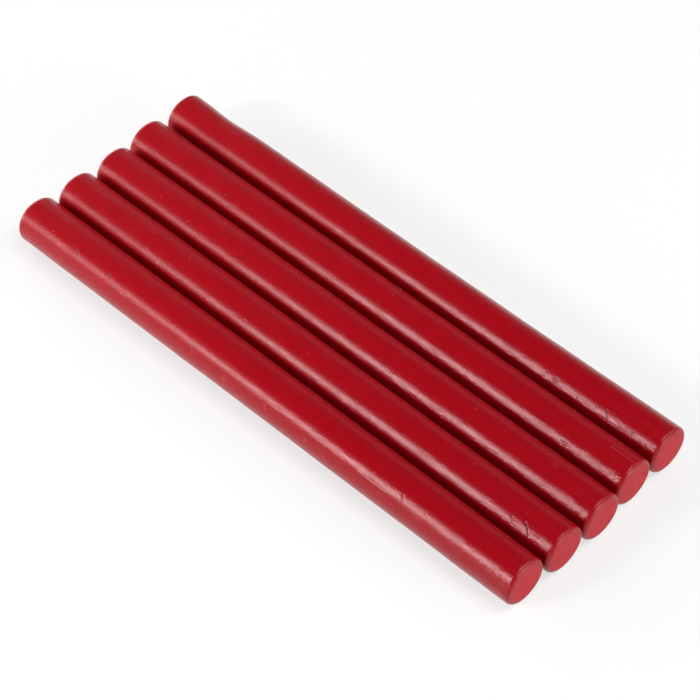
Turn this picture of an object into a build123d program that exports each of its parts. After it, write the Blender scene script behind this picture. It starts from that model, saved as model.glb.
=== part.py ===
"""Five loose sticks of red sealing wax, lying side by side on a desk.

Each stick is one round bar of cast wax, solid all through and with no wick. Its two end faces are flat,
and the edge around each of them is rounded a little. The sticks lie along X, with their near ends
towards +X, and the row runs along Y, from the near stick at -Y to the far one at +Y. They rest on z = 0,
and the origin is on the desk, under the middle of the row.
"""

import os

from build123d import *

# Driving dimensions, in millimetres
STICK_DIAMETER = 10.0
STICK_LENGTH = 135.0
END_EDGE_ROUND = 0.8
GAP_BETWEEN_STICKS = 0.6

# How far each stick's near end sits back from the foremost near end, from the near stick to the far one
NEAR_END_SETBACKS = (0.35, 0.0, 0.0, 1.1, 1.3)

# What follows from them
STICK_RADIUS = STICK_DIAMETER / 2
STICK_COUNT = len(NEAR_END_SETBACKS)
STICK_PITCH = STICK_DIAMETER + GAP_BETWEEN_STICKS
ROW_LENGTH = STICK_LENGTH + max(NEAR_END_SETBACKS)

PARTS_FOLDER = "parts"


def wax_stick():
    """One stick, lying along X with its middle at the origin."""
    bar = Cylinder(STICK_RADIUS, STICK_LENGTH, rotation=(0, 90, 0))
    end_edges = bar.edges().filter_by(GeomType.CIRCLE)
    return fillet(end_edges, END_EDGE_ROUND)


def stick_middles():
    """The middle of each stick where it lies in the row, from the near stick to the far one."""
    first_middle_x = (ROW_LENGTH - STICK_LENGTH) / 2
    first_middle_y = -STICK_PITCH * (STICK_COUNT - 1) / 2
    return [
        Vector(first_middle_x - setback, first_middle_y + number * STICK_PITCH, STICK_RADIUS)
        for number, setback in enumerate(NEAR_END_SETBACKS)
    ]


os.makedirs(PARTS_FOLDER, exist_ok=True)
for number, middle in enumerate(stick_middles(), start=1):
    stick = Pos(middle) * wax_stick()
    export_step(stick, os.path.join(PARTS_FOLDER, f"wax_stick_{number}.step"))
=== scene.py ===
"""Five loose red sealing wax sticks, lying side by side on a white table."""

import math

import bmesh
import bpy
import numpy as np
from mathutils import Matrix, Vector


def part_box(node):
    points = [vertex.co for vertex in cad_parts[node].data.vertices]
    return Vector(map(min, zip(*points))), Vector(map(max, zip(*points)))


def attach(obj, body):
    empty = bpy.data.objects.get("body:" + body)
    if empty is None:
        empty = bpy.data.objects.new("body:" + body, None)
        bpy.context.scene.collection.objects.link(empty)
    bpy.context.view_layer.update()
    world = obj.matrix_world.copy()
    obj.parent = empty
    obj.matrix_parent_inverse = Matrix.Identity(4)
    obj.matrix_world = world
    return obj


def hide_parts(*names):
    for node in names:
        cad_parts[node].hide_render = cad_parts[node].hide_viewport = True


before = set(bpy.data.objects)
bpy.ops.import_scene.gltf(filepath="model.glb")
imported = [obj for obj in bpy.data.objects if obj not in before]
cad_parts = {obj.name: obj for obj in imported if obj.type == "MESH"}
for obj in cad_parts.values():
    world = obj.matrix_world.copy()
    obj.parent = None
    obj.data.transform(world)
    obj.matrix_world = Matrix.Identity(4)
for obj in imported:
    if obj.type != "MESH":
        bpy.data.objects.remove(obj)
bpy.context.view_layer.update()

# The wax stick as it leaves its mould
# Each stick is one solid round bar of red wax, cast in a tube mould and pushed out when it has set.
# Its ends are flat, and the wax has drawn in around them, so that their edges are round.
MM = 0.001
stick_low, stick_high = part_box("wax_stick_3")
STICK_LENGTH = stick_high.x - stick_low.x
STICK_RADIUS = (stick_high.z - stick_low.z) / 2
STICK_MIDDLE = (stick_low + stick_high) / 2

# The skin swells this far out from the blank, because a cast stick is a little over its named thickness.
SWELL = 0.12 * MM
BLANK_LENGTH = STICK_LENGTH - 2 * SWELL
SIDES = 128
END_ROUND = 0.8 * MM
END_ROUND_STEPS = 8
FACE_RING_WIDTHS = (0.15 * MM, 0.5 * MM, 0.7 * MM, 0.8 * MM, 0.8 * MM)
RING_CUTS = (20, 20)
SQUARE_TO_LENGTH = 0.999


def pick(stick, kind, test):
    """In edit mode, selects only the faces or edges of a stick that pass a test."""
    bpy.ops.mesh.select_mode(type=kind)
    bpy.ops.mesh.select_all(action="DESELECT")
    shape = bmesh.from_edit_mesh(stick.data)
    for element in shape.faces if kind == "FACE" else shape.edges:
        element.select_set(bool(test(element)))
    bmesh.update_edit_mesh(stick.data)


def on_rim(edge):
    """True for an edge between an end face and the side."""
    return len({round(face.normal.x) for face in edge.link_faces}) == 2


def on_end(face):
    """True for a face that lies square to the stick's length."""
    return abs(face.normal.x) > SQUARE_TO_LENGTH


def lies_along(edge):
    """True for an edge along the side, whole or after the first cuts."""
    first, second = edge.verts
    return abs(first.co.x - second.co.x) > BLANK_LENGTH / (RING_CUTS[0] + 2)


bpy.ops.object.select_all(action="DESELECT")
bpy.ops.mesh.primitive_cylinder_add(
    vertices=SIDES,
    radius=STICK_RADIUS,
    depth=BLANK_LENGTH,
    end_fill_type="NGON",
    rotation=(0, math.pi / 2, 0),
)
blank = bpy.context.object
bpy.ops.object.transform_apply(location=False, rotation=True, scale=False)
bpy.ops.object.mode_set(mode="EDIT")
pick(blank, "EDGE", on_rim)
bpy.ops.mesh.bevel(offset=END_ROUND, segments=END_ROUND_STEPS, profile=0.5, affect="EDGES")
pick(blank, "FACE", on_end)
for ring_width in FACE_RING_WIDTHS:
    bpy.ops.mesh.inset(thickness=ring_width)
bpy.ops.mesh.poke()
for cuts in RING_CUTS:
    pick(blank, "EDGE", lies_along)
    bpy.ops.mesh.subdivide(number_cuts=cuts)
bpy.ops.object.mode_set(mode="OBJECT")
bpy.ops.object.shade_smooth()


def places(stick):
    """The places of a stick's vertices, in metres, as three rows of numbers."""
    numbers = np.empty(len(stick.data.vertices) * 3, dtype=np.float32)
    stick.data.vertices.foreach_get("co", numbers)
    return numbers.reshape(-1, 3).T.astype(float)


# The ends are matt, and pale on their flats, partly with painted light, so each place is marked by how far
# in from the side it lies.
END_FADE = 1.4 * MM
across, up = places(blank)[1:]
inwards = np.clip((STICK_RADIUS - np.hypot(across, up)) / END_FADE, 0, 1)
end_mark = blank.data.attributes.new("end", "FLOAT", "POINT")
end_mark.data.foreach_set("value", inwards.astype(np.float32))


def linear(hex_colour):
    """An sRGB colour, written as six hex digits, as linear red, green, blue and alpha."""
    channels = [int(hex_colour[place:place + 2], 16) / 255 for place in (0, 2, 4)]
    return [c / 12.92 if c <= 0.04045 else ((c + 0.055) / 1.055) ** 2.4 for c in channels] + [1.0]


def add_node(tree, kind, settings, links):
    """Adds a node to a tree, gives it its settings, and joins outputs of other nodes to its inputs."""
    node = tree.nodes.new(kind)
    for name, value in settings.items():
        if isinstance(name, str) and hasattr(node, name):
            setattr(node, name, value)
        else:
            node.inputs[name].default_value = value
    for name, output in links.items():
        tree.links.new(output, node.inputs[name])
    return node


# Cast sealing wax: resin and wax with red pigment all through. To the eye it is deep red with slow clouds,
# and lets a little light in under a satin skin. Towards the near end the skin is glossier and grainier, and
# its colour is darkened there with painted shade, for the light that falls off towards that end. The flats
# of the ends are matt and mottled, and paler: partly a pale bloom of the wax, partly painted light from the
# side. Scuffs are pale, and cracks, scratches and pits are darkened with painted shade. The grain is drawn
# as coarse as it needs to be to show in the render.
WAX_RED, WAX_DARK, NEAR_PAINTED_SHADE = "A60716", "9C0615", "F2F2F2"
FLAT_BLOOM_AND_LIGHT_PALE, FLAT_BLOOM_AND_LIGHT_DARK, FLAT_EDGE = "C63A41", "A01A23", 0.4
WAX_SCUFFED, GROOVE_PAINTED_SHADE = "C4525C", "4A0309"
WAX_IOR, WAX_GLEAM = 1.45, "FFE6E8"
GLOW_SHARE, GLOW_REACH, GLOW_DEPTH = 0.25, (1.0, 0.15, 0.15), 0.8 * MM
FAR_ROUGHNESS, NEAR_ROUGHNESS, END_ROUGHNESS, SCUFF_ROUGHNESS = 0.26, 0.18, 0.75, 0.5
CLOUD_WIDTH, CLOUD_DETAIL = 5.0 * MM, 4.0
MOTTLE_WIDTH, MOTTLE_DETAIL = 1.3 * MM, 3.0
GRAIN_WIDTH, GRAIN_DETAIL, GRAIN_HEIGHT = 0.32 * MM, 2.0, 0.05 * MM
FAR_GRAIN, NEAR_GRAIN = 0.9, 1.45
NEAR_FADE_FROM, NEAR_FADE_TO = -35.0 * MM, 50.0 * MM

# A Mix node's sockets go by number, because those for colours and those for numbers share their names.
SHARE, FIRST_COLOUR, SECOND_COLOUR, MIXED_COLOUR = 0, 6, 7, 2
FIRST_NUMBER, SECOND_NUMBER, MIXED_NUMBER = 2, 3, 0

wax = bpy.data.materials.new("cast_red_sealing_wax")
wax.use_nodes = True
tree = wax.node_tree
tree.nodes.clear()
spot = add_node(tree, "ShaderNodeTexCoord", {}, {})
clouds = add_node(tree, "ShaderNodeTexNoise", {"Scale": 1 / CLOUD_WIDTH, "Detail": CLOUD_DETAIL}, {
    "Vector": spot.outputs["Object"]})
colour = add_node(tree, "ShaderNodeMix", {
    "data_type": "RGBA",
    FIRST_COLOUR: linear(WAX_DARK),
    SECOND_COLOUR: linear(WAX_RED),
}, {SHARE: clouds.outputs["Fac"]})
along = add_node(tree, "ShaderNodeSeparateXYZ", {}, {"Vector": spot.outputs["Object"]})
nearness = add_node(tree, "ShaderNodeMapRange", {"From Min": NEAR_FADE_FROM, "From Max": NEAR_FADE_TO}, {
    "Value": along.outputs["X"]})
# Painted shade: the colour is darkened towards the near end, where less light falls on the sticks.
colour = add_node(tree, "ShaderNodeMix", {
    "data_type": "RGBA",
    "blend_type": "MULTIPLY",
    SECOND_COLOUR: linear(NEAR_PAINTED_SHADE),
}, {SHARE: nearness.outputs["Result"], FIRST_COLOUR: colour.outputs[MIXED_COLOUR]})
mottle = add_node(tree, "ShaderNodeTexNoise", {"Scale": 1 / MOTTLE_WIDTH, "Detail": MOTTLE_DETAIL}, {
    "Vector": spot.outputs["Object"]})
# The end flats' mottled colour is paler than the side: partly a pale bloom, partly painted light from the
# side.
pale = add_node(tree, "ShaderNodeMix", {
    "data_type": "RGBA",
    FIRST_COLOUR: linear(FLAT_BLOOM_AND_LIGHT_DARK),
    SECOND_COLOUR: linear(FLAT_BLOOM_AND_LIGHT_PALE),
}, {SHARE: mottle.outputs["Fac"]})
end = add_node(tree, "ShaderNodeAttribute", {"attribute_name": "end"}, {})
bloom_and_light_flat = add_node(tree, "ShaderNodeMapRange", {"From Min": FLAT_EDGE}, {"Value": end.outputs["Fac"]})
colour = add_node(tree, "ShaderNodeMix", {"data_type": "RGBA"}, {
    SHARE: bloom_and_light_flat.outputs["Result"],
    FIRST_COLOUR: colour.outputs[MIXED_COLOUR],
    SECOND_COLOUR: pale.outputs[MIXED_COLOUR],
})
scuffs = add_node(tree, "ShaderNodeAttribute", {"attribute_name": "scuff"}, {})
colour = add_node(tree, "ShaderNodeMix", {"data_type": "RGBA", SECOND_COLOUR: linear(WAX_SCUFFED)}, {
    SHARE: scuffs.outputs["Fac"], FIRST_COLOUR: colour.outputs[MIXED_COLOUR]})
# Painted shade: cracks, scratches, cuts and pits are darkened in colour, for the shade in them.
groove_shade_node = add_node(tree, "ShaderNodeAttribute", {"attribute_name": "groove_shade"}, {})
colour = add_node(tree, "ShaderNodeMix", {"data_type": "RGBA", SECOND_COLOUR: linear(GROOVE_PAINTED_SHADE)}, {
    SHARE: groove_shade_node.outputs["Fac"], FIRST_COLOUR: colour.outputs[MIXED_COLOUR]})
roughness = add_node(tree, "ShaderNodeMix", {FIRST_NUMBER: FAR_ROUGHNESS, SECOND_NUMBER: NEAR_ROUGHNESS}, {
    SHARE: nearness.outputs["Result"]})
roughness = add_node(tree, "ShaderNodeMix", {SECOND_NUMBER: END_ROUGHNESS}, {
    SHARE: end.outputs["Fac"], FIRST_NUMBER: roughness.outputs[MIXED_NUMBER]})
roughness = add_node(tree, "ShaderNodeMix", {SECOND_NUMBER: SCUFF_ROUGHNESS}, {
    SHARE: scuffs.outputs["Fac"], FIRST_NUMBER: roughness.outputs[MIXED_NUMBER]})
grain = add_node(tree, "ShaderNodeTexNoise", {"Scale": 1 / GRAIN_WIDTH, "Detail": GRAIN_DETAIL}, {
    "Vector": spot.outputs["Object"]})
graininess = add_node(tree, "ShaderNodeMix", {FIRST_NUMBER: FAR_GRAIN, SECOND_NUMBER: NEAR_GRAIN}, {
    SHARE: nearness.outputs["Result"]})
bump = add_node(tree, "ShaderNodeBump", {"Distance": GRAIN_HEIGHT}, {
    "Strength": graininess.outputs[MIXED_NUMBER], "Height": grain.outputs["Fac"]})
wax_shader = add_node(tree, "ShaderNodeBsdfPrincipled", {
    "IOR": WAX_IOR,
    "Specular Tint": linear(WAX_GLEAM),
    "Subsurface Weight": GLOW_SHARE,
    "Subsurface Radius": GLOW_REACH,
    "Subsurface Scale": GLOW_DEPTH,
}, {
    "Base Color": colour.outputs[MIXED_COLOUR],
    "Roughness": roughness.outputs[MIXED_NUMBER],
    "Normal": bump.outputs["Normal"],
})
add_node(tree, "ShaderNodeOutputMaterial", {}, {"Surface": wax_shader.outputs["BSDF"]})

# The skin of a stick
# Wax shrinks as it sets, and stays soft enough to mark. So each stick's skin has slow lumps and a pebbly
# grain from its casting, and small marks from its handling.
LUMP_WIDTH, LUMP_HEIGHT = 11.0 * MM, 0.12 * MM
PEBBLE_WIDTH, PEBBLE_HEIGHT = 0.6 * MM, 0.03 * MM
TEXTURE_MIDDLE = 0.5

# The faces around a mark are cut finer where its half width, in mm, is under FINE_MARK: out to MARK_REACH
# half widths and MARK_MARGIN mm from its path. What is shallower than LEAST_DEPTH, in mm, is left flat.
FINE_MARK, MARK_REACH, MARK_MARGIN, MARK_CUTS = 0.5, 2.2, 0.15, 3
LEAST_DEPTH = 0.0005


def relief(stick, height, middle, texture=None, group="", direction="NORMAL"):
    """Moves a stick's skin by a height, as a texture or a vertex group tells, and keeps the new shape."""
    skin = stick.modifiers.new("relief", "DISPLACE")
    skin.strength, skin.mid_level, skin.direction = height, middle, direction
    skin.texture, skin.texture_coords, skin.vertex_group = texture, "LOCAL", group
    bpy.context.view_layer.objects.active = stick
    bpy.ops.object.modifier_apply(modifier=skin.name)


def unrolled(stick, points):
    """Places on a stick's skin, laid flat: mm from its near end, and mm from its top towards the camera."""
    low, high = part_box(stick["node"])
    middle = (low + high) / 2
    along = (high.x - points[0]) / MM
    around = np.arctan2(middle.y - points[1], points[2] - middle.z) * STICK_RADIUS / MM
    return along, around


def distance_to(path, along, around):
    """How far places on the unrolled skin are from a mark's path, in mm."""
    around_per_degree = math.radians(1) * STICK_RADIUS / MM
    corners = [(corner[0], corner[1] * around_per_degree) for corner in path]
    nearest = np.hypot(along - corners[0][0], around - corners[0][1])
    for (a0, b0), (a1, b1) in zip(corners, corners[1:]):
        run, rise = a1 - a0, b1 - b0
        share = np.clip(((along - a0) * run + (around - b0) * rise) / (run ** 2 + rise ** 2), 0, 1)
        nearest = np.minimum(nearest, np.hypot(along - a0 - share * run, around - b0 - share * rise))
    return nearest


def cast_stick(number):
    """A copy of the blank at its place in the row, with the lumps and grain of cast wax."""
    node = f"wax_stick_{number}"
    low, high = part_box(node)
    stick = blank.copy()
    stick.data = blank.data.copy()
    stick.name = f"red_stick_{number}"
    stick["node"] = node
    bpy.context.collection.objects.link(stick)
    bpy.ops.object.select_all(action="DESELECT")
    stick.select_set(True)
    stick.data.transform(Matrix.Translation((low + high) / 2))
    stick.data.materials.append(wax)
    for width, height, swell in ((LUMP_WIDTH, LUMP_HEIGHT, SWELL), (PEBBLE_WIDTH, PEBBLE_HEIGHT, 0)):
        texture = bpy.data.textures.new("wax_relief", "CLOUDS")
        texture.noise_scale = width
        relief(stick, height, TEXTURE_MIDDLE - swell / height, texture=texture)
    skin = places(stick)
    skin[2] = np.maximum(skin[2], low.z)
    stick.data.vertices.foreach_set("co", skin.T.ravel().astype(np.float32))
    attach(stick, node)
    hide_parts(node)
    return stick


def wear(stick, marks):
    """Works marks into a stick's skin: finer faces around them, their depth, and their colour.

    A mark is a path of places on the skin, in mm from the near end and degrees from the top towards the
    camera, then its half width and depth in mm, and how far it has paled, from 0 to 1, or been darkened with
    painted shade, from 0 to -1. A depth below zero is a raised mark.
    """
    centres = np.empty(len(stick.data.polygons) * 3, dtype=np.float32)
    stick.data.polygons.foreach_get("center", centres)
    along, around = unrolled(stick, centres.reshape(-1, 3).T)
    near = np.zeros(len(along), dtype=bool)
    for path, width, _, _ in marks:
        if width < FINE_MARK:
            near |= distance_to(path, along, around) < MARK_REACH * width + MARK_MARGIN
    bpy.context.view_layer.objects.active = stick
    bpy.ops.object.mode_set(mode="EDIT")
    pick(stick, "FACE", lambda face: near[face.index])
    bpy.ops.mesh.subdivide(number_cuts=MARK_CUTS)
    bpy.ops.object.mode_set(mode="OBJECT")
    along, around = unrolled(stick, places(stick))
    height, scuff, groove_shade = np.zeros((3, len(along)))
    # A paling is a scuff of the wax. A darkening is painted shade in a groove, crack or pit.
    for path, width, depth, pale in marks:
        share = np.exp(-(distance_to(path, along, around) / width) ** 2)
        height -= share * depth
        scuff = np.maximum(scuff, share * pale)
        groove_shade = np.maximum(groove_shade, -share * pale)
    for name, amount, sign in (("sunk", -height, -1), ("raised", height, 1)):
        amount = np.where(amount > LEAST_DEPTH, amount, 0)
        group = stick.vertex_groups.new(name=name)
        for index in np.flatnonzero(amount):
            group.add([int(index)], amount[index] / amount.max(), "REPLACE")
        if amount.max() > 0:
            relief(stick, sign * amount.max() * MM, 0.0, group=name)
    for name, amount in (("scuff", scuff), ("groove_shade", groove_shade)):
        attribute = stick.data.attributes.new(name, "FLOAT", "POINT")
        attribute.data.foreach_set("value", amount.astype(np.float32))


# The first stick, nearest the camera
# One cast bar of red wax, bowed by a hair. Two double scratches cross its crest by the far end, its front
# is scuffed, and two short dents lie in the crest by the near end.
stick_1 = cast_stick(1)
wear(stick_1, [
    ([(119.5, 31), (118.1, 40), (116.8, 51)], 0.09, 0.035, -0.5),
    ([(118.8, 30), (117.4, 44)], 0.09, 0.03, -0.45),
    ([(118.4, 36), (117.1, 50)], 0.1, -0.015, 0.35),
    ([(109.7, 36), (107.9, 46)], 0.09, 0.035, -0.5),
    ([(109.3, 33), (107.8, 40)], 0.09, 0.03, -0.5),
    ([(109.2, 40), (107.9, 51)], 0.1, -0.015, 0.3),
    ([(104.5, 52), (103.7, 56)], 0.1, 0.03, -0.5),
    ([(105.2, 47)], 0.12, -0.02, 0.3),
    ([(103.2, 56)], 0.12, -0.02, 0.25),
    ([(128.3, 43)], 0.3, -0.02, 0.15),
    ([(127.4, 43), (126.9, 41)], 0.2, -0.02, 0.2),
    ([(126.3, 36), (125.8, 32)], 0.11, -0.01, 0.2),
    ([(125.7, 42)], 0.25, -0.02, 0.12),
    ([(123.5, 46), (122.9, 54)], 0.12, -0.015, 0.15),
    ([(74.0, 72)], 0.6, -0.01, 0.3),
    ([(75.2, 76)], 0.35, 0.01, 0.2),
    ([(83.7, 57), (83.2, 66)], 0.2, 0.01, 0.2),
    ([(64.5, 54)], 0.22, 0.02, 0.25),
    ([(63.1, 56), (62.8, 74)], 0.22, 0.015, 0.2),
    ([(51.8, 72)], 0.5, -0.01, 0.3),
    ([(47.2, 82), (46.4, 88)], 0.28, 0.015, 0.2),
    ([(48.3, 95)], 0.45, 0.015, 0.25),
    ([(70.3, 96)], 0.5, 0.015, 0.25),
    ([(51.1, 42)], 0.12, 0.04, -0.4),
    ([(38.2, 53), (34.5, 54), (30.8, 53)], 0.1, 0.02, -0.3),
    ([(27.9, 38), (27.6, 43), (27.8, 49)], 0.2, 0.06, -0.3),
    ([(28.4, 40), (28.3, 47)], 0.16, -0.03, 0.1),
    ([(24.8, 40)], 0.3, 0.02, 0.0),
    ([(22.2, 37), (22.0, 43), (22.3, 48)], 0.16, 0.045, -0.3),
    ([(21.0, 98), (20.6, 77)], 0.14, 0.015, 0.2),
])


def bow(stick, turns_at, shift_there, far_shift):
    """Bows a stick away from the camera, in mm: by one shift where it turns, and another at its far end."""
    along, _ = unrolled(stick, places(stick))
    bend = ((along - turns_at) / (STICK_LENGTH / MM - turns_at)) ** 2
    shift = np.maximum(shift_there + (far_shift - shift_there) * bend, 0)
    group = stick.vertex_groups.new(name="bow")
    for index, share in enumerate(shift / shift.max()):
        group.add([index], share, "REPLACE")
    relief(stick, shift.max() * MM, 0.0, group="bow", direction="Y")


bow(stick_1, turns_at=60, shift_there=0.05, far_shift=0.0)

# The second stick
# One cast bar of red wax. It has cracked across the crest close to its near end, where the skin beside the
# crack is broken into specks, and it has a cluster of small pits near its far end.
wear(cast_stick(2), [
    ([(8.5, 15), (8.0, 32)], 0.1, 0.015, -0.3),
    ([(7.7, 33), (7.0, 39), (6.6, 43), (6.1, 52), (5.7, 59)], 0.12, 0.06, -0.9),
    ([(7.4, 32), (6.3, 40)], 0.1, -0.02, 0.2),
    ([(5.7, 45), (5.6, 48)], 0.09, 0.035, -0.4),
    ([(5.4, 38), (5.3, 42)], 0.09, 0.035, -0.4),
    ([(4.9, 43), (4.8, 46)], 0.09, 0.035, -0.4),
    ([(4.0, 42), (3.9, 45)], 0.09, 0.035, -0.4),
    ([(3.2, 43), (3.1, 46)], 0.09, 0.035, -0.4),
    ([(6.2, 41)], 0.12, -0.022, 0.3),
    ([(5.2, 45)], 0.12, -0.022, 0.3),
    ([(4.4, 45)], 0.12, -0.022, 0.3),
    ([(3.6, 45)], 0.12, -0.022, 0.3),
    ([(2.6, 46)], 0.12, -0.022, 0.3),
    ([(10.8, 32), (10.6, 47)], 0.1, 0.04, -0.5),
    ([(10.4, 46), (8.9, 47)], 0.12, -0.02, 0.15),
    ([(12.6, 45)], 0.12, -0.03, 0.4),
    ([(9.0, 49)], 0.8, 0.03, 0.0),
    ([(23.3, -8), (23.2, -4)], 0.12, -0.01, 0.3),
    ([(65.2, 12), (65.2, 18)], 0.14, 0.01, 0.2),
    ([(68.6, -20), (68.2, -14)], 0.13, 0.01, 0.15),
    ([(81.3, 41), (80.5, 39)], 0.11, 0.03, -0.3),
    ([(90.8, 52)], 0.15, -0.04, 0.6),
    ([(92.1, 51)], 0.13, -0.02, 0.25),
    ([(90.0, 46), (88.6, 42)], 0.1, -0.01, 0.2),
    ([(90.4, 43), (89.4, 39)], 0.1, -0.01, 0.2),
    ([(100.7, -9), (100.4, -6)], 0.13, -0.01, 0.4),
    ([(100.2, -1), (99.7, 5)], 0.15, 0.01, 0.12),
    ([(106.8, 46)], 0.13, -0.03, 0.55),
    ([(106.2, 49)], 0.13, -0.03, 0.55),
    ([(105.5, 47)], 0.13, -0.03, 0.55),
    ([(105.8, 51)], 0.13, -0.03, 0.55),
    ([(106.5, 48)], 0.11, 0.04, -0.4),
    ([(105.9, 45)], 0.11, 0.04, -0.4),
    ([(105.2, 50)], 0.11, 0.04, -0.4),
    ([(108.2, 41), (107.2, 43)], 0.1, -0.015, 0.2),
    ([(109.8, 37), (108.5, 40)], 0.1, -0.015, 0.2),
    ([(111.9, 37)], 0.13, -0.02, 0.25),
    ([(128.9, 63), (128.4, 58)], 0.12, 0.01, 0.15),
])

# The third stick, in the middle
# One cast bar of red wax, the cleanest of the five. A few pale specks lie on its top, and two low swellings
# in its crest catch the light.
wear(cast_stick(3), [
    ([(109.0, 34), (108.4, 31)], 0.12, 0.01, 0.2),
    ([(117.7, 22), (117.6, 26)], 0.12, 0.01, 0.2),
    ([(102.5, -21), (102.3, -15)], 0.12, 0.01, 0.15),
    ([(82.6, -34), (82.5, -28)], 0.12, 0.01, 0.15),
    ([(86.2, 43)], 0.15, -0.02, 0.2),
    ([(71.9, 47)], 0.18, -0.03, 0.3),
    ([(50.4, 46)], 0.6, -0.03, 0.1),
    ([(48.9, 50)], 0.3, 0.03, 0.0),
    ([(39.2, 45)], 0.7, -0.035, 0.1),
    ([(37.3, 45)], 0.6, 0.03, 0.0),
    ([(32.1, -1)], 0.25, 0.01, 0.25),
    ([(24.4, 3)], 0.2, 0.01, 0.15),
    ([(12.3, -2)], 0.4, 0.01, 0.2),
    ([(11.6, -5)], 0.25, 0.01, 0.15),
])

# The fourth stick
# One cast bar of red wax. Its crest is pitted in three places, two of the pits by the near end are burst
# bubbles with a sunk rim, and a straight hair line from the mould runs along its top to the near end.
BUBBLE_RADIUS, BUBBLE_CORNERS = 0.33, 12


def bubble_rim(along, around):
    """The path of a small ring on the skin, around a place in mm and degrees."""
    degrees_per_mm = math.degrees(MM / STICK_RADIUS)
    turns = [math.tau * corner / BUBBLE_CORNERS for corner in range(BUBBLE_CORNERS + 1)]
    return [
        (along + BUBBLE_RADIUS * math.cos(turn), around + BUBBLE_RADIUS * degrees_per_mm * math.sin(turn))
        for turn in turns
    ]


wear(cast_stick(4), [
    ([(6.6, -4.5), (0.8, -4.5)], 0.09, -0.006, 0.35),
    ([(19.4, -13), (18.9, -8)], 0.13, 0.01, 0.2),
    ([(58.9, -30), (58.4, -24)], 0.13, 0.01, 0.15),
    ([(63.0, -5), (62.9, -2)], 0.12, -0.01, 0.3),
    ([(54.0, 37), (53.8, 41)], 0.12, -0.02, 0.25),
    ([(77.9, 46)], 0.15, -0.025, 0.25),
    ([(107.8, 31)], 0.16, -0.01, 0.25),
    ([(48.2, 46)], 0.18, 0.045, -0.3),
    ([(47.5, 50)], 0.18, 0.045, -0.3),
    ([(46.9, 52)], 0.14, -0.025, 0.25),
    ([(37.8, 50)], 0.3, 0.03, 0.0),
    ([(36.2, 47)], 0.35, 0.02, 0.0),
    ([(22.7, 50)], 0.2, 0.04, -0.25),
    (bubble_rim(15.1, 49), 0.1, 0.05, -0.45),
    (bubble_rim(14.1, 49), 0.1, 0.05, -0.45),
    ([(14.6, 53)], 0.13, -0.025, 0.2),
    ([(9.6, 47)], 0.9, 0.03, 0.0),
    ([(6.9, 51)], 0.13, -0.022, 0.25),
    ([(6.0, 51)], 0.13, -0.022, 0.25),
    ([(5.3, 53)], 0.13, -0.022, 0.25),
    ([(4.4, 53)], 0.13, -0.022, 0.25),
    ([(3.7, 52)], 0.13, -0.022, 0.25),
    ([(6.4, 47), (6.3, 50)], 0.11, 0.045, -0.4),
    ([(4.9, 49), (4.8, 53)], 0.11, 0.045, -0.4),
    ([(3.9, 48)], 0.3, 0.03, 0.0),
])

# The fifth stick, farthest from the camera
# One cast bar of red wax, bowed away from the row towards its far end. Its back is pinched there, where it
# was picked up while soft, and thin cuts and rows of specks cross its crest by the near end.
stick_5 = cast_stick(5)
wear(stick_5, [
    ([(124.0, -54)], 5.8, 0.36, 0.0),
    ([(118.3, -31)], 0.3, -0.02, 0.15),
    ([(116.8, 40), (116.6, 47)], 0.12, -0.02, 0.3),
    ([(116.3, 49)], 0.12, 0.04, -0.4),
    ([(64.5, 52)], 0.13, 0.04, -0.4),
    ([(28.0, 39), (28.3, 46), (28.2, 55)], 0.11, 0.05, -0.7),
    ([(26.3, 47), (25.5, 56)], 0.11, 0.05, -0.7),
    ([(25.8, 44), (25.0, 52)], 0.11, 0.05, -0.7),
    ([(25.3, 41), (24.8, 46)], 0.11, 0.05, -0.7),
    ([(20.4, 50)], 0.14, -0.025, 0.4),
    ([(19.6, 53)], 0.14, -0.025, 0.4),
    ([(19.2, 49)], 0.14, -0.025, 0.4),
    ([(18.6, 55)], 0.14, -0.025, 0.4),
    ([(20.0, 48), (19.9, 54)], 0.11, 0.05, -0.7),
    ([(15.4, 39), (15.5, 48)], 0.11, 0.05, -0.7),
    ([(13.2, 37), (12.5, 53)], 0.11, 0.05, -0.8),
    ([(12.2, 45)], 0.13, -0.025, 0.45),
    ([(9.7, 46), (9.4, 59)], 0.11, 0.05, -0.8),
    ([(9.2, 51)], 0.13, -0.025, 0.5),
    ([(8.8, 49)], 0.12, -0.025, 0.5),
    ([(8.5, 52)], 0.13, -0.025, 0.5),
    ([(8.0, 50)], 0.12, -0.025, 0.45),
    ([(6.5, 44), (6.2, 58)], 0.11, 0.05, -0.8),
    ([(4.9, 51)], 0.15, -0.025, 0.45),
    ([(4.3, 50), (4.0, 59)], 0.11, 0.05, -0.8),
    ([(3.4, 53)], 0.14, -0.025, 0.45),
    ([(2.9, 51), (2.6, 59)], 0.11, 0.05, -0.7),
])
bow(stick_5, turns_at=47, shift_there=0.0, far_shift=0.62)
bpy.data.objects.remove(blank)

# The white table
# A plain matt board, far larger than the set. It is grey to the light that it sends back to the sticks, and
# is lifted to white where it is seen, straight or in a gleam. It keeps the sticks' shadow.
TABLE_SIZE = 6.0
TABLE_GREY = "A0A0A0"
TABLE_LIFT = 0.62
bpy.ops.object.select_all(action="DESELECT")
bpy.ops.mesh.primitive_plane_add(size=TABLE_SIZE)
table = bpy.context.object
table.name = "white_table"
matt_white = bpy.data.materials.new("matt_white_board")
matt_white.use_nodes = True
tree = matt_white.node_tree
tree.nodes.clear()
board = add_node(tree, "ShaderNodeBsdfDiffuse", {"Color": linear(TABLE_GREY)}, {})
rays = add_node(tree, "ShaderNodeLightPath", {}, {})
seen = add_node(tree, "ShaderNodeMath", {"operation": "MAXIMUM"}, {
    0: rays.outputs["Is Camera Ray"], 1: rays.outputs["Is Glossy Ray"]})
seen = add_node(tree, "ShaderNodeMath", {"operation": "MAXIMUM"}, {
    0: seen.outputs["Value"], 1: rays.outputs["Is Transmission Ray"]})
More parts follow.
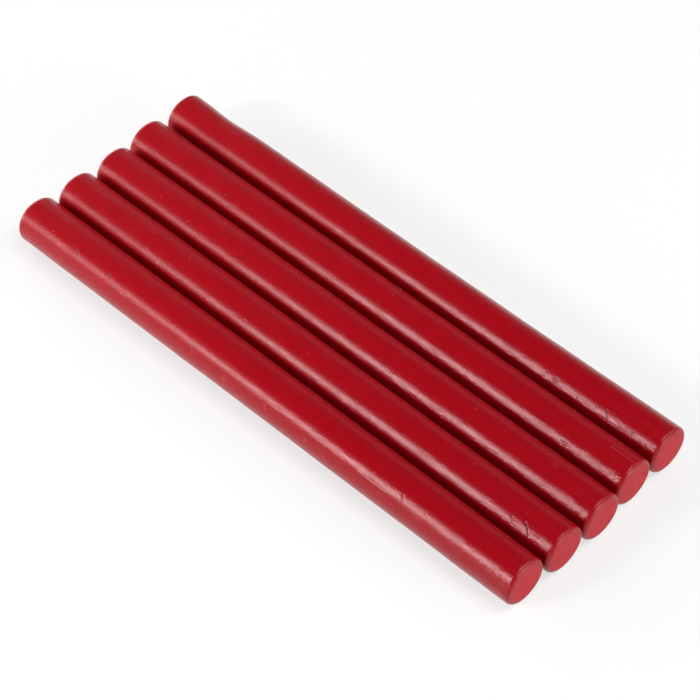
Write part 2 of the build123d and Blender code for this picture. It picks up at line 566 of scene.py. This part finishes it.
lift = add_node(tree, "ShaderNodeMath", {"operation": "MULTIPLY", 1: TABLE_LIFT}, {0: seen.outputs["Value"]})
glow = add_node(tree, "ShaderNodeEmission", {}, {"Strength": lift.outputs["Value"]})
both = add_node(tree, "ShaderNodeAddShader", {}, {0: board.outputs["BSDF"], 1: glow.outputs["Emission"]})
add_node(tree, "ShaderNodeOutputMaterial", {}, {"Surface": both.outputs["Shader"]})
table.data.materials.append(matt_white)

# The studio light
# Softboxes around the table. Three narrow ones in front, at the left, draw the long highlights, and wide
# ones low in front, at the sides, behind and above fill in the rest. Each has its turn from the row's front
# towards its near ends and its height, in degrees, its size and distance, in metres, and its watts.
SOFTBOXES = {
    "highlight_near": (340, 26.5, (0.08, 0.10), 0.80, 2.3),
    "highlight_middle": (332, 27, (0.07, 0.15), 0.80, 0.5),
    "highlight_far": (324.5, 23, (0.13, 0.30), 0.80, 0.5),
    "front_low": (0, 5, (0.45, 0.12), 0.90, 1.0),
    "front": (25, 21, (0.50, 0.35), 0.90, 0.5),
    "left_front": (300, 10, (0.45, 0.25), 0.90, 3.6),
    "right": (100, 13, (0.45, 0.27), 0.90, 4.4),
    "left": (270, 30, (0.45, 0.30), 0.90, 0.7),
    "left_back": (245, 13, (0.45, 0.27), 0.90, 2.4),
    "back": (150, 38, (0.45, 0.35), 0.90, 1.25),
    "above": (110, 70, (0.50, 0.50), 0.90, 3.5),
}
for name, (turned, raised, size, away, watts) in SOFTBOXES.items():
    turned, raised = math.radians(turned), math.radians(raised)
    level = math.cos(raised)
    place = Vector((math.sin(turned) * level, -math.cos(turned) * level, math.sin(raised))) * away
    lamp = bpy.data.lights.new(name, "AREA")
    lamp.shape = "RECTANGLE"
    lamp.size, lamp.size_y = size
    lamp.energy = watts
    softbox = bpy.data.objects.new(name, lamp)
    softbox.location = place
    softbox.rotation_euler = place.to_track_quat("Z", "Y").to_euler()
    bpy.context.collection.objects.link(softbox)

# The dim room around the table
# It is palest at the height of the table, and darkens towards the ceiling.
ROOM_COLOUR = "FFFFFF"
ROOM_LOW, ROOM_HIGH, DARKEST_HEIGHT = 0.39, 0.045, 0.68
room = bpy.data.worlds.new("dim_room")
bpy.context.scene.world = room
room.use_nodes = True
tree = room.node_tree
tree.nodes.clear()
direction = add_node(tree, "ShaderNodeTexCoord", {}, {})
height = add_node(tree, "ShaderNodeSeparateXYZ", {}, {"Vector": direction.outputs["Generated"]})
strength = add_node(tree, "ShaderNodeMapRange", {
    "From Max": DARKEST_HEIGHT,
    "To Min": ROOM_LOW,
    "To Max": ROOM_HIGH,
}, {"Value": height.outputs["Z"]})
air = add_node(tree, "ShaderNodeBackground", {"Color": linear(ROOM_COLOUR)}, {
    "Strength": strength.outputs["Result"]})
add_node(tree, "ShaderNodeOutputWorld", {}, {"Surface": air.outputs["Background"]})

# The camera
# It stands in front and to the right, and looks down along the sticks from about half a metre away.
AZIMUTH, ELEVATION, ROLL = math.radians(43.370), math.radians(48.018), math.radians(0.678)
CAMERA_DISTANCE = 483.2 * MM
AIM = STICK_MIDDLE + Vector((4.46, -2.38, 0.0)) * MM
FOCAL_PIXELS, PHOTO_PIXELS, SENSOR_WIDTH = 2443.0, 700, 36.0
NEAREST_SEEN, FARTHEST_SEEN = 0.01, 20.0
lens = bpy.data.cameras.new("camera")
lens.sensor_width = SENSOR_WIDTH
lens.lens = FOCAL_PIXELS / PHOTO_PIXELS * SENSOR_WIDTH
lens.clip_start, lens.clip_end = NEAREST_SEEN, FARTHEST_SEEN
camera = bpy.data.objects.new("camera", lens)
bpy.context.collection.objects.link(camera)
turn = Matrix.Rotation(AZIMUTH, 4, "Z") @ Matrix.Rotation(math.pi / 2 - ELEVATION, 4, "X")
turn = turn @ Matrix.Rotation(ROLL, 4, "Z")
camera.matrix_world = Matrix.Translation(AIM) @ turn @ Matrix.Translation((0, 0, CAMERA_DISTANCE))
bpy.context.scene.camera = camera
bpy.context.scene.view_settings.view_transform = "Standard"
